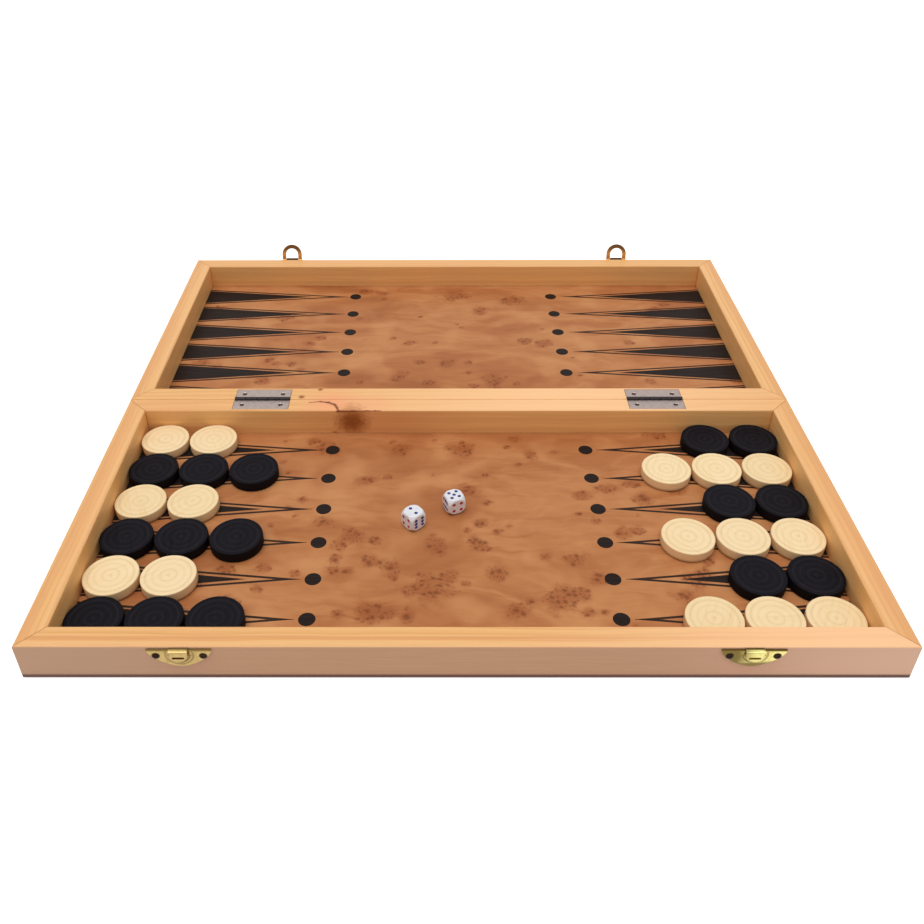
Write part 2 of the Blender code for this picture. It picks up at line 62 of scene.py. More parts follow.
SEAM = 0.3  # clearance between two pieces
CASE_HALF = 240.0
WELL_HALF = 225.7
WELL_NEAR = 14.45  # fold plane to the well's hinge side
WELL_FAR = 214.85
OUTER = 229.15  # fold plane to a tray's outer face
FOLD_HEIGHT = 25.15  # height of the hinge pins
PLAY_FACE = 5.3  # height of the playing sheets' faces
VENEER_BACK = 4.7
HINGE_X = 143.3  # middle of the case to the middle of a hinge
CLASP_X = 151.7
PLATE_TOP = 23.9  # height of the clasp plates' straight edges
PLATE_WIDTH = 34.6
PLATE_DROP = 12.4
PIN_DROP = -0.4  # clasp pin below a plate's straight edge
SCREW_Y = 6.85  # hinge pin to the leaves' screws
AMBIENT = 0.52  # strength of the world's even light
SUN = 0.54  # the lamp's strength, in shares of pi


# ---------------------------------------------------------------- materials


def srgb(red, green, blue):
    """A colour as it is seen on a screen, 0 to 255, as linear light."""
    values = []
    for level in (red, green, blue):
        level /= 255
        values.append(level / 12.92 if level <= 0.04045 else ((level + 0.055) / 1.055) ** 2.4)
    return (*values, 1)


class Shader:
    """A material whose nodes are added by calls that return sockets."""

    def __init__(self, name, **constants):
        self.material = bpy.data.materials.new(name)
        self.material.use_nodes = True
        self.tree = self.material.node_tree
        self.surface = self.tree.nodes["Principled BSDF"]
        self.set(**constants)

    def set(self, **values):
        """Sets or links inputs of the surface. An underscore in a name stands for a space."""
        for key, value in values.items():
            self.join(self.surface.inputs[key.replace("_", " ")], value)

    def join(self, socket, value):
        if isinstance(value, bpy.types.NodeSocket):
            self.tree.links.new(value, socket)
        else:
            socket.default_value = value

    def node(self, kind, inputs, output=0, **settings):
        made = self.tree.nodes.new("ShaderNode" + kind)
        for key, value in settings.items():
            setattr(made, key, value)
        for key, value in inputs.items():
            self.join(made.inputs[key], value)
        return made.outputs[output]

    def place(self, scale=1.0, offset=(0, 0, 0), turn=0.0):
        """Object coordinates in millimetres, turned about Z, moved, and stretched by the scale."""
        raw = self.node("TexCoord", {}, "Object")
        if isinstance(scale, (int, float)):
            scale = (scale, scale, scale)
        sized = self.node("VectorMath", {0: raw, 1: (1 / MM, 1 / MM, 1 / MM)}, operation="MULTIPLY")
        turned = self.node("Mapping", {"Vector": sized, "Location": offset, "Rotation": (0, 0, turn)})
        return self.node("VectorMath", {0: turned, 1: scale}, operation="MULTIPLY")

    def vector(self, operation, a, b=(0, 0, 0), output=0):
        return self.node("VectorMath", {0: a, 1: b}, output, operation=operation)

    def math(self, operation, a, b=0.0, clamp=False):
        return self.node("Math", {0: a, 1: b}, operation=operation, use_clamp=clamp)

    def step(self, value, low, high, start=0.0, end=1.0):
        """Goes smoothly from start to end as the value goes from low to high."""
        inputs = {"Value": value, "From Min": low, "From Max": high, "To Min": start, "To Max": end}
        return self.node("MapRange", inputs, interpolation_type="SMOOTHSTEP")

    def noise(self, vector, scale=1.0, detail=2.0, roughness=0.5, distortion=0.0, output="Fac"):
        inputs = {
            "Vector": vector,
            "Scale": scale,
            "Detail": detail,
            "Roughness": roughness,
            "Distortion": distortion,
        }
        return self.node("TexNoise", inputs, output)

    def ramp(self, value, stops):
        made = self.tree.nodes.new("ShaderNodeValToRGB")
        self.join(made.inputs[0], value)
        elements = made.color_ramp.elements
        while len(elements) < len(stops):
            elements.new(0.5)
        for element, (position, colour) in zip(elements, stops):
            element.position = position
            element.color = colour if hasattr(colour, "__len__") else (colour, colour, colour, 1)
        return made.outputs[0]

    def mix(self, factor, a, b, blend="MIX"):
        made = self.tree.nodes.new("ShaderNodeMix")
        made.data_type = "RGBA"
        made.blend_type = blend
        self.join(made.inputs[0], factor)
        self.join(made.inputs[6], a)
        self.join(made.inputs[7], b)
        return made.outputs[2]

    def from_segment(self, point, start, end):
        """Distance of a point from the line between two places."""
        start, way = Vector(start), Vector(end) - Vector(start)
        run = self.vector("SUBTRACT", point, start)
        along = self.vector("DOT_PRODUCT", run, way / way.length_squared, "Value")
        along = self.math("ADD", along, clamp=True)
        foot = self.node("VectorMath", {0: way, "Scale": along}, operation="SCALE")
        return self.vector("DISTANCE", run, foot, "Value")

    def bump(self, height, distance, strength=1.0, normal=None):
        inputs = {"Height": height, "Distance": distance * MM, "Strength": strength}
        if normal is not None:
            inputs["Normal"] = normal
        return self.node("Bump", inputs)


def pine(name, seed, side_rail=False, knots=(), streaks=(), crack=(), blush=()):
    """Lacquered pine: growth rings round a far pith, fine fibres, and a dark line at the foot. Inner walls
    carry painted bounce light and outer faces a painted reflection of the white ground.
    """
    s = Shader(name, Specular_IOR_Level=0.3)
    chance = random.Random(seed)
    offset = (chance.uniform(-900, 900), chance.uniform(-15, 15), chance.uniform(-15, 15))
    turn = math.pi / 2 if side_rail else 0.0
    here = s.place(offset=offset, turn=turn)
    wander = s.noise(s.vector("MULTIPLY", here, (0.007, 0.03, 0.03)), detail=2, output="Color")
    wander = s.vector("SUBTRACT", wander, (0.5, 0.5, 0.5))
    bent = s.vector("ADD", here, s.vector("MULTIPLY", wander, (0, 9, 9)))
    centre = (0, chance.choice((-1, 1)) * chance.uniform(40, 90), chance.uniform(50, 90))
    across = s.vector("MULTIPLY", s.vector("ADD", bent, centre), (0, 1, 1))
    radius = s.vector("LENGTH", across, output="Value")
    rest = s.place()
    for spot, size, pull in knots:
        near = s.vector("DISTANCE", rest, spot, "Value")
        radius = s.math("ADD", radius, s.step(near, 0, size, pull, 0))
    ring = s.math("FRACT", s.math("DIVIDE", radius, 3.4))
    colour = s.ramp(
        ring,
        [
            (0.0, srgb(239, 185, 121)),
            (0.45, srgb(237, 181, 117)),
            (0.8, srgb(232, 173, 108)),
            (0.94, srgb(226, 163, 98)),
            (1.0, srgb(239, 185, 121)),
        ],
    )
    patch = s.noise(s.vector("MULTIPLY", here, (0.006, 0.05, 0.05)), detail=2)
    colour = s.mix(s.step(patch, 0.4, 0.68, 0, 0.5), colour, srgb(234, 170, 112))
    position = s.tree.nodes.new("ShaderNodeSeparateXYZ")
    s.join(position.inputs[0], rest)
    drift = s.math("MULTIPLY", s.node("SeparateXYZ", {0: wander}, 1), 5.0)
    # Bands along a rail; on the front rail the paler band at the outer edge is a painted highlight of its
    # rounded edge.
    for axis, middle, half, tone, strength in streaks:
        place = s.math("ADD", position.outputs[axis], drift)
        far = s.math("ABSOLUTE", s.math("SUBTRACT", place, middle))
        colour = s.mix(s.step(far, half * 0.3, half, strength, 0), colour, srgb(*tone))
    reach = s.math("ABSOLUTE", position.outputs["X" if side_rail else "Y"])
    skin = (CASE_HALF if side_rail else OUTER) - 0.12
    outer = s.step(reach, skin - 0.5, skin)
    facing = s.node("SeparateXYZ", {0: s.node("NewGeometry", {}, "True Normal")}, "Z")
    inside = s.step(reach, skin - 2, skin - 3)
    steep = s.step(s.math("ABSOLUTE", facing), 0.6, 0.3)
    inner = s.math("MULTIPLY", inside, steep)
    # Inner walls tinted lighter and more orange: painted bounce light from inside the tray.
    colour = s.mix(s.math("MULTIPLY", inner, 0.5), colour, srgb(252, 196, 124))
    # Outer faces tinted greyer and pinker: painted reflection of the white ground.
    colour = s.mix(s.math("MULTIPLY", outer, 0.85), colour, srgb(200, 150, 118))
    fibre = s.noise(s.vector("MULTIPLY", here, (0.03, 1.6, 1.6)), detail=3, roughness=0.65)
    colour = s.mix(0.3, colour, s.ramp(fibre, [(0.3, 0.66), (0.7, 1.0)]), "MULTIPLY")
    upward = s.step(facing, 0.4, 0.7)
    upright = s.math("SUBTRACT", 1.0, upward)
    drawn = s.vector("ADD", rest, s.vector("MULTIPLY", wander, (16, 8, 8)))
    # Patches of other tone; on the front rail's outer face they are painted reflection of the white ground.
    for spot, size, tone, strength, top in blush:
        near = s.step(s.vector("DISTANCE", drawn, spot, "Value"), 0, size, strength, 0)
        near = s.math("MULTIPLY", near, upward if top else upright)
        colour = s.mix(near, colour, srgb(*tone))
    for spot, size, pull in knots:
        near = s.vector("DISTANCE", rest, spot, "Value")
        rough = s.math("MULTIPLY", s.noise(rest, 0.35, 3), size * 0.5)
        near = s.math("ADD", near, rough)
        colour = s.mix(s.step(near, size * 0.5, size * 1.25, 0.9, 0), colour, srgb(158, 86, 34))
        colour = s.mix(s.step(near, size * 0.2, size * 0.75, 0.6, 0), colour, srgb(118, 62, 24))
    if crack:
        shaken = s.vector("SUBTRACT", s.noise(rest, 0.5, 3, output="Color"), (0.5, 0.5, 0.5))
        shaken = s.vector("ADD", rest, s.vector("MULTIPLY", shaken, (1.8, 1.8, 0)))
        for start, end, width in crack:
            near = s.from_segment(shaken, start, end)
            colour = s.mix(s.step(near, width * 0.1, width, 0.92, 0), colour, srgb(120, 56, 12))
    low = s.step(position.outputs["Z"], 2.1, 4.0, 1, 0)
    foot = s.math("MULTIPLY", low, s.step(reach, skin - 1.2, skin - 0.4))
    colour = s.mix(foot, colour, srgb(98, 58, 42))
    s.set(Base_Color=colour, Roughness=s.step(fibre, 0.2, 0.8, 0.46, 0.32))
    s.set(Normal=s.bump(s.math("ADD", fibre, s.math("MULTIPLY", ring, 0.4)), 0.03, 0.4))
    return s.material


def burl(name, seed):
    """Lacquered burl veneer: soft swirls, and eyes that gather where the sheet's attribute says."""
    s = Shader(name, Specular_IOR_Level=0.12)
    here = s.place(offset=(seed * 131.0, seed * 57.0, 0))
    wander = s.vector("SUBTRACT", s.noise(here, 0.035, 2, output="Color"), (0.5, 0.5, 0.5))
    bent = s.vector("ADD", here, s.vector("MULTIPLY", wander, (14, 14, 0)))
    swirl = s.noise(s.vector("MULTIPLY", bent, (0.010, 0.022, 0)), detail=3, distortion=1.2)
    colour = s.ramp(
        swirl,
        [
            (0.28, srgb(160, 97, 56)),
            (0.45, srgb(178, 113, 68)),
            (0.58, srgb(192, 130, 82)),
            (0.75, srgb(172, 107, 63)),
        ],
    )
    fibre = s.noise(s.vector("MULTIPLY", bent, (0.05, 0.45, 0)), detail=4, roughness=0.6)
    colour = s.mix(0.4, colour, s.ramp(fibre, [(0.3, 0.78), (0.7, 1.0)]), "MULTIPLY")
    streak = s.noise(s.vector("MULTIPLY", bent, (0.016, 0.13, 0)), detail=2, distortion=0.6)
    colour = s.mix(s.step(streak, 0.5, 0.72, 0, 0.4), colour, srgb(158, 92, 50))
    cloud = s.noise(here, 0.028, 2)
    colour = s.mix(s.step(cloud, 0.5, 0.72, 0, 0.5), colour, srgb(202, 144, 94))
    gather = s.node("Attribute", {}, "Fac", attribute_name="gather", attribute_type="GEOMETRY")
    mottle = s.noise(bent, 0.16, 3, 0.6)
    ragged = s.math("ADD", gather, s.math("MULTIPLY", s.math("SUBTRACT", mottle, 0.5), 1.1))
    colour = s.mix(s.step(ragged, 0.0, 0.95, 0, 0.68), colour, srgb(150, 82, 44))
    eyes = None
    for size, limit, shade in ((0.17, 0.36, 0.7), (0.33, 0.3, 0.55)):
        inputs = {"Vector": bent, "Scale": size, "Randomness": 1.0}
        far = s.node("TexVoronoi", inputs, "Distance", voronoi_dimensions="2D")
        spot = s.step(far, limit * 0.3, limit, shade, 0)
        eyes = spot if eyes is None else s.math("MAXIMUM", eyes, spot)
    eyes = s.math("MULTIPLY", eyes, s.step(ragged, 0.22, 0.62))
    colour = s.mix(s.math("MULTIPLY", eyes, 0.85), colour, srgb(104, 52, 26))
    s.set(Base_Color=colour, Roughness=s.step(fibre, 0.2, 0.8, 0.46, 0.34))
    s.set(Normal=s.bump(s.math("SUBTRACT", fibre, eyes), 0.02, 0.35))
    return s.material


def stained_inlay(name, colour, lighter):
    """Dyed veneer of the points: nearly black, with a trace of its own grain."""
    s = Shader(name, Specular_IOR_Level=0.06)
    grain = s.noise(s.place((0.04, 0.9, 0)), detail=3, roughness=0.6)
    tone = s.ramp(grain, [(0.3, srgb(*colour)), (0.72, srgb(*lighter))])
    s.set(Base_Color=tone, Roughness=s.step(grain, 0.2, 0.8, 0.5, 0.36))
    s.set(Normal=s.bump(grain, 0.01, 0.4))
    return s.material


def turned_wood(name, pale, deep, groove_shade_and_sheen_tone, side_shade_tone, foot_shade_tone, roughness, gloss):
    """A turned checker: grain across the disc, faint tool rings, and its own tone for each piece. Its sides
    carry painted shade, darkest at the foot; its rings are painted shade in the grooves on pale pieces and
    painted sheen on black ones.
    """
    s = Shader(name, Specular_IOR_Level=gloss)
    own = s.node("ObjectInfo", {}, "Random")
    shift = s.node("CombineXYZ", {"X": s.math("MULTIPLY", own, 900), "Y": s.math("MULTIPLY", own, 370)})
    here = s.vector("ADD", s.place(), shift)
    grain = s.noise(s.vector("MULTIPLY", here, (0.03, 0.55, 0.2)), detail=4, roughness=0.6)
    colour = s.ramp(grain, [(0.28, srgb(*deep)), (0.55, srgb(*pale)), (0.8, srgb(*pale))])
    facing = s.node("SeparateXYZ", {0: s.node("NewGeometry", {}, "True Normal")}, "Z")
    # Sides painted darker and warmer than the top: painted shade.
    wall = s.step(facing, 0.75, 0.25)
    colour = s.mix(s.math("MULTIPLY", wall, 0.7), colour, srgb(*side_shade_tone))
    # Painted shade at the foot of the sides, darkest at the bottom.
    height = s.node("SeparateXYZ", {0: s.place()}, "Z")
    painted_foot_shade = s.math("MULTIPLY", wall, s.step(height, 0.3, 2.6, 0.65, 0))
    colour = s.mix(painted_foot_shade, colour, srgb(*foot_shade_tone))
    tint = s.ramp(own, [(0.0, (0.93, 0.91, 0.86, 1)), (0.5, (1, 1, 1, 1)), (1.0, (0.98, 0.97, 0.98, 1))])
    colour = s.mix(1.0, colour, tint, "MULTIPLY")
    flat = s.vector("MULTIPLY", s.place(), (1, 1, 0))
    radius = s.vector("LENGTH", flat, output="Value")
    # Rings over the turned grooves: painted shade in them on pale checkers, painted sheen on black ones.
    rings = s.ramp(
        s.math("DIVIDE", radius, 16.5),
        [
            (0.0, 0.0),
            (0.04, 0.9),
            (0.09, 0.0),
            (0.22, 0.0),
            (0.30, 0.7),
            (0.36, 0.0),
            (0.50, 0.0),
            (0.58, 0.5),
            (0.64, 0.0),
            (0.74, 0.0),
            (0.82, 1.0),
            (0.87, 0.0),
        ],
    )
    rings = s.math("MULTIPLY", rings, s.step(facing, 0.5, 0.9))
    colour = s.mix(s.math("MULTIPLY", rings, 0.42), colour, srgb(*groove_shade_and_sheen_tone))
    tool = s.math("SINE", s.math("MULTIPLY", radius, 9.0))
    s.set(Base_Color=colour, Roughness=s.step(grain, 0.2, 0.8, roughness + 0.08, roughness - 0.04))
    s.set(Normal=s.bump(s.math("ADD", grain, s.math("MULTIPLY", tool, 0.25)), 0.02, 0.45))
    return s.material


def metal(name, colour, tarnish, roughness, stretch=(0.4, 2.0, 2.0), crown=None, plate=None):
    """Plated sheet metal, a little tarnished, with fine polishing lines."""
    s = Shader(name, Metallic=1.0)
    cloud = s.noise(s.place(0.35), detail=4, roughness=0.6)
    lines = s.noise(s.place(stretch), 3.0, 3, 0.6)
    tone = s.mix(s.step(cloud, 0.4, 0.75, 0, 0.75), srgb(*colour), srgb(*tarnish))
    if crown is not None:
        height = s.math("ADD", s.node("SeparateXYZ", {0: s.place()}, "Z"), s.math("MULTIPLY", cloud, 3))
        tone = s.mix(s.step(height, 6.5, 12.5, 0, 0.85), tone, srgb(*crown))
    # Painted shade on the catch plates.
    if plate is not None:
        tone = catch_plate_edge_and_shade(s, tone, cloud, *plate)
    s.set(Base_Color=tone)
    s.set(Roughness=s.step(s.math("ADD", cloud, lines), 0.7, 1.3, roughness + 0.1, roughness - 0.06))
    s.set(Normal=s.bump(lines, 0.01, 0.35))
    return s.material


def catch_plate_edge_and_shade(s, tone, cloud, deep, shade_one_side):
    """Darkens a catch plate at its top edge; paints shade in the groove round its hood and just outside the
    rib, and, on one plate, to one side and at its foot.
    """
    here = s.place()
    place = s.tree.nodes.new("ShaderNodeSeparateXYZ")
    s.join(place.inputs[0], here)
    low = s.step(place.outputs["Z"], 1.35, 1.05)
    edge = s.math("MULTIPLY", s.step(place.outputs["Y"], -1.0, -0.2), low)
    oval = s.vector("MULTIPLY", s.vector("ADD", here, (0, 3.4, 0)), (1 / 6.3, 1 / 6.2, 0))
    ring = s.vector("LENGTH", oval, output="Value")
    # Painted shade in the groove round the hood and just outside the rib.
    groove = s.step(s.math("ABSOLUTE", s.math("SUBTRACT", ring, 0.86)), 0.03, 0.13, 0.9, 0)
    outside = s.step(s.math("ABSOLUTE", s.math("SUBTRACT", ring, 1.17)), 0.03, 0.14, 0.6, 0)
    groove = s.math("MULTIPLY", s.math("MAXIMUM", groove, outside), low)
    dark = s.math("MAXIMUM", edge, groove)
    if shade_one_side:
        # Painted shade to one side and at the foot of the plate.
        along = s.math("ADD", place.outputs["X"], s.math("MULTIPLY", cloud, 6))
        side = s.step(along, 4.5, -6, 0, 0.9)
        foot = s.step(place.outputs["Y"], -7.5, -10.5, 0, 0.85)
        dark = s.math("MAXIMUM", dark, s.math("MAXIMUM", side, foot))
    return s.mix(dark, tone, srgb(*deep))


def moulded(name, colour, roughness, deeper):
    """Moulded or painted plastic with a faint cloud in its colour and a fine orange-peel skin."""
    s = Shader(name, Specular_IOR_Level=0.5)
    cloud = s.noise(s.place(0.22), detail=3)
    skin = s.noise(s.place(2.4), detail=2)
    s.set(Base_Color=s.mix(s.step(cloud, 0.4, 0.7, 0, 0.6), srgb(*colour), srgb(*deeper)))
    s.set(Roughness=s.step(skin, 0.3, 0.7, roughness + 0.05, roughness - 0.04))
    s.set(Normal=s.bump(skin, 0.01, 0.25))
    return s.material


# ---------------------------------------------------------------- mesh tools


def to_mesh(bm, name, smooth_angle=35):
    bmesh.ops.recalc_face_normals(bm, faces=bm.faces)
    mesh = bpy.data.meshes.new(name)
    bm.to_mesh(mesh)
    bm.free()
    mesh.shade_smooth()
    mesh.set_sharp_from_angle(angle=math.radians(smooth_angle))
    return mesh


def add_box(bm, low, high):
    low, high = Vector(low), Vector(high)
    place = Matrix.Translation((low + high) / 2) @ Matrix.Diagonal((*(high - low), 1))
    return bmesh.ops.create_cube(bm, size=1, matrix=place)["verts"]


def add_tube(bm, start, end, outer, bore, sides=32, chamfer=0.15):
    """A round bar or tube, turned from its section, with a small chamfer at both ends."""
    start, end = Vector(start), Vector(end)
    length = (end - start).length
    section = [(bore, 0), (outer - chamfer, 0), (outer, chamfer)]
    section += [(outer, length - chamfer), (outer - chamfer, length), (bore, length)]
    turn = Vector((0, 0, 1)).rotation_difference(end - start).to_matrix().to_4x4()
    add_turned(bm, section, sides, Matrix.Translation(start) @ turn, bore > 0)


def add_turned(bm, section, sides, matrix=Matrix.Identity(4), closed=False):
    """A section of (radius, height) points turned about Z."""
    rings = []
    for radius, height in section:
        if radius == 0:
            rings.append([bm.verts.new(matrix @ Vector((0, 0, height)))] * sides)
            continue
        ring = []
        for i in range(sides):
            angle = 2 * math.pi * i / sides
            point = Vector((radius * math.cos(angle), radius * math.sin(angle), height))
            ring.append(bm.verts.new(matrix @ point))
        rings.append(ring)
    pairs = list(zip(rings, rings[1:]))
    if closed:
        pairs.append((rings[-1], rings[0]))
    for low, high in pairs:
        for i in range(sides):
            j = (i + 1) % sides
            corners = []
            for vert in (low[i], low[j], high[j], high[i]):
                if vert not in corners:
                    corners.append(vert)
            if len(corners) > 2:
                bm.faces.new(corners)


def add_prism(bm, outline, low, high):
    """A flat outline made solid between two heights."""
    bottom = [bm.verts.new((x, y, low)) for x, y in outline]
    top = [bm.verts.new((x, y, high)) for x, y in outline]
    bm.faces.new(reversed(bottom))
    face = bm.faces.new(top)
    for i in range(len(outline)):
        j = (i + 1) % len(outline)
        bm.faces.new((bottom[i], bottom[j], top[j], top[i]))
    return face


def cut(mesh, cutter, smooth_angle=35):
    """The mesh with the cutter taken out. The new faces keep the cutter's materials."""
    pair = []
    for data in (mesh, cutter):
        obj = bpy.data.objects.new("guide", data)
        bpy.context.scene.collection.objects.link(obj)
        pair.append(obj)
    change = pair[0].modifiers.new("cut", "BOOLEAN")
    change.operation = "DIFFERENCE"
    change.object = pair[1]
    change.material_mode = "TRANSFER"
    graph = bpy.context.evaluated_depsgraph_get()
    graph.update()
    made = bpy.data.meshes.new_from_object(pair[0].evaluated_get(graph))
    for obj in pair:
        bpy.data.objects.remove(obj)
    made.shade_smooth()
    made.set_sharp_from_angle(angle=math.radians(smooth_angle))
    return made


def in_metres(mesh):
    mesh.transform(Matrix.Scale(MM, 4))
    return mesh


def piece(name, mesh, finish, body, stands_for=(), slot=None, at=(0, 0, 0), turn=(0, 0, 0)):
    """Places a mesh that is already in metres, and lets it ride on a body of the frame."""
    if not mesh.materials:
        mesh.materials.append(None)
    made = bpy.data.objects.new(name, mesh)
    bpy.context.scene.collection.objects.link(made)
    made.location = Vector(at) * MM
    made.rotation_euler = turn
    if finish is not None:
        made.material_slots[0].link = "OBJECT"
        made.material_slots[0].material = finish
    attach(made, body)
    if stands_for:
        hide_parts(*stands_for)
    return made


def dress(names, finish):
    for name in names:
        nodes[name].data.materials.clear()
        nodes[name].data.materials.append(finish)


# ---------------------------------------------------------------- case


def rails():
    wall = -WELL_NEAR
    knots = [((-77, wall, 15), 16.5, 5.0), ((-90, wall, 3), 5, 1.0)]
    marks = [((-115, 3.1, 25), 3.4, 1.5), ((-102.2, 12.6, 25), 2.8, 1.5)]
    crack = [
        ((-108.5, -4.4, 25), (-100.9, -3.2, 25), 0.9),
        ((-100.9, -3.2, 25), (-94.6, -4.2, 25), 1.5),
        ((-94.6, -4.2, 25), (-89.6, -7.2, 25), 1.9),
        ((-89.6, -7.2, 25), (-88.0, -10.8, 25), 1.8),
        ((-88.0, -10.8, 25), (-86.4, wall, 25), 1.4),
        ((-87.3, wall, 24.4), (-74, wall, 24.6), 1.5),
        ((-74, wall, 24.6), (-56, wall, 24.8), 0.9),
    ]
    blush = [
        ((80, 0, 25), 230, (252, 202, 150), 0.75, True),
        ((-92, -6, 25), 30, (240, 160, 116), 0.75, True),
        ((-62, -8, 25), 24, (240, 168, 122), 0.5, True),
        ((-60, wall, 12), 90, (214, 134, 84), 0.5, False),
    ]
    # Patches on the front rail; those on its outer face are painted reflection of the white ground, lighter
    # and pinker to the right and greyer to the left.
    front_tones_and_reflection = [
        ((205, -222, 25), 190, (252, 200, 152), 0.8, True),
        ((235, -229, 12), 150, (232, 186, 156), 0.9, False),
        ((150, -229, 12), 22, (222, 160, 130), 0.35, False),
        ((-215, -229, 12), 110, (196, 158, 128), 0.6, False),
    ]
    # The second front band, paler along the outer edge, is a painted highlight of the front rail's rounded
    # edge.
    front = [("Y", -222.2, 1.6, (221, 156, 100), 0.75), ("Y", -227.0, 2.8, (243, 192, 134), 0.6)]
    left = [("X", -236.6, 3.6, (226, 164, 108), 0.6), ("X", -228.5, 2.6, (243, 192, 134), 0.5)]
    right = [("X", 236.6, 3.6, (226, 164, 108), 0.6), ("X", 228.5, 2.6, (243, 192, 134), 0.5)]
    wall_grain = [("Z", 8.5, 2.6, (196, 118, 68), 0.5), ("Z", 17.5, 3.0, (206, 134, 80), 0.4)]
    hinge_side = {"streaks": wall_grain, "knots": knots, "crack": crack, "blush": blush}
    plan = {
        "near_front_rail": (11, False, {"streaks": front, "blush": front_tones_and_reflection}),
        "near_hinge_rail": (23, False, hinge_side),
        "near_left_rail": (5, True, {"streaks": left}),
        "near_right_rail": (7, True, {"streaks": right}),
        "far_back_rail": (31, False, {"streaks": wall_grain}),
        "far_hinge_rail": (43, False, {"knots": marks, "blush": blush[:3]}),
        "far_left_rail": (17, True, {"streaks": left}),
        "far_right_rail": (19, True, {"streaks": right}),
    }
    for name, (seed, side_rail, extra) in plan.items():
        dress([name], pine("pine_" + name, seed, side_rail, **extra))


# Places of the burl's gathered eyes on the sheets: X, Y and reach.
NEAR_GATHERS = [
    (-94, -34, 11), (-41, -34, 9), (1, -35, 12), (35, -32, 4), (50, -41, 7), (40, -23, 6),
    (-62, -68, 8), (-49, -65, 4), (5, -80, 8), (13, -112, 6), (23, -120, 4), (-88, -110, 8),
    (-68, -125, 11), (-76, -131, 7), (-55, -127, 6), (-16, -134, 9), (11, -131, 9), (51, -142, 5),
    (69, -144, 9), (-78, -143, 5), (-55, -146, 9), (-45, -151, 7), (-79, -153, 6), (-69, -153, 5),
    (-43, -158, 6), (-20, -167, 16), (-28, -170, 8), (-10, -160, 8), (2, -165, 4), (21, -156, 8),
    (57, -176, 15), (66, -175, 9), (71, -187, 5), (82, -187, 5), (31, -185, 9), (-55, -187, 12),
    (-42, -188, 7), (-33, -190, 7), (-73, -188, 5), (88, -110, 4), (101, -121, 8), (112, -119, 6),
    (80, -85, 7), (97, -78, 8), (117, -73, 7), (120, -88, 9), (144, -18, 10), (81, -162, 7),
    (151, -147, 5), (71, -173, 5), (-104, -25, 6), (-123, -49, 5), (-105, -89, 5),
    (-120, -152, 6), (-101, -156, 4), (-79, -145, 5), (-123, -169, 5),
]
FAR_GATHERS = [
    (-83, 202, 8), (-66, 200, 7), (3, 194, 14), (22, 166, 9), (51, 185, 12), (58, 113, 8),
    (74, 110, 10), (-39, 111, 7), (-30, 82, 6), (-8, 80, 9), (10, 80, 4), (-46, 61, 10),
    (-21, 51, 7), (30, 52, 12), (13, 46, 5), (146, 111, 6), (153, 52, 7), (-115, 120, 7),
    (-122, 110, 6), (-134, 79, 6), (-147, 79, 4), (-125, 70, 5), (-154, 54, 7),
]


def veneer(name, body, side, gathers, seed):
    """The playing sheet as a fine grid, with an attribute that says where the burl's eyes gather."""
    chance = random.Random(seed)
    spots = list(gathers)
    for i in range(40):
        x = chance.uniform(-220, 220)
        reach = chance.uniform(4, 11) if abs(x) > 130 else chance.uniform(2, 4)
        spots.append((x, side * chance.uniform(20, 208), reach))
    half_x, half_y = WELL_HALF - SEAM, (WELL_FAR - WELL_NEAR) / 2 - SEAM
    middle = side * (WELL_NEAR + WELL_FAR) / 2
    bm = bmesh.new()
    place = Matrix.Translation((0, middle, PLAY_FACE)) @ Matrix.Diagonal((half_x, half_y, 1, 1))
    bmesh.ops.create_grid(bm, x_segments=220, y_segments=98, size=1, matrix=place)
    layer = bm.verts.layers.float.new("gather")
    for vert in bm.verts:
        x, y, _ = vert.co
        sway = noise.noise(Vector((x * 0.09, y * 0.09, seed)))
        most = 0.0
        for spot_x, spot_y, reach in spots:
            far = math.hypot(x - spot_x, (y - spot_y) * 1.15) / (reach * (1.4 + 0.8 * sway))
            if far < 1:
                most = max(most, 1 - far * far * (3 - 2 * far))
        vert[layer] = most
    rim = [edge for edge in bm.edges if edge.is_boundary]
    drop = bmesh.ops.extrude_edge_only(bm, edges=rim)["geom"]
    for vert in [item for item in drop if isinstance(item, bmesh.types.BMVert)]:
        vert.co.z = VENEER_BACK
    bmesh.ops.holes_fill(bm, edges=[edge for edge in bm.edges if edge.is_boundary], sides=0)
    mesh = in_metres(to_mesh(bm, name))
    node = name.replace("_burl", "_playing_veneer")
    piece(name, mesh, burl(name, seed), body, [node], "burl_veneer")


DOT_RADIUS = 5.0
INLAY = 0.04  # how far the inlay stands over the veneer
SPEAR_HALF = 11.3  # half of a spear's width at the wall
SPEAR_TIP = 130  # middle of the case to a spear's tip
LINE_HALF = 13.7
LINE_INNER_HALF = 12.0
LINE_TIP = 97.5
LINE_INNER_TIP = 113


